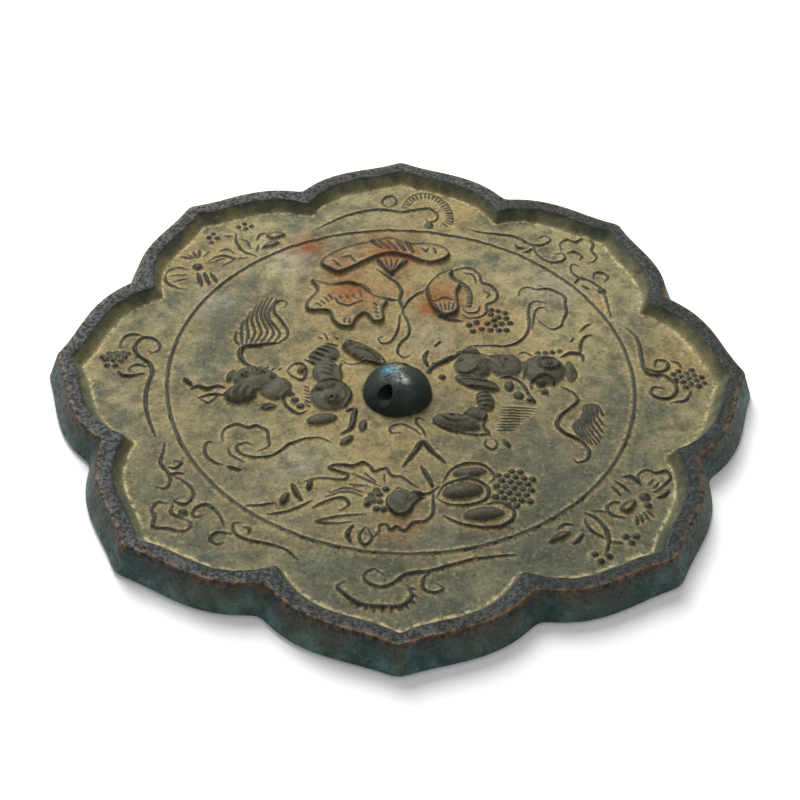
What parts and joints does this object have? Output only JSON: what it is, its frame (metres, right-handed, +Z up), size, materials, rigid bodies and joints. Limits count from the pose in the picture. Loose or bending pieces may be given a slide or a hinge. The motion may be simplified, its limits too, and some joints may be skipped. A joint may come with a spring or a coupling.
{
  "type": "bronze mirror",
  "caption": "Lobed cast bronze hand mirror lying face down, with a scalloped rim, a round border line, low animal and flower relief and a pierced central knob.",
  "frame": {"origin": "centre of the lobed outline, on the flat reflecting face that the mirror lies on", "axes": "+Z up out of the decorated back, +Y along the cord hole through the knob, from the mouth seen at the front"},
  "size_m": [0.2359, 0.2345, 0.0154],
  "materials": {
    "bronze": "aged, matt clay-coloured ground with dark green-black wear on the raised parts"
  },
  "bodies": {
    "root": {"mirror": "bronze"}
  },
  "joints": []
}
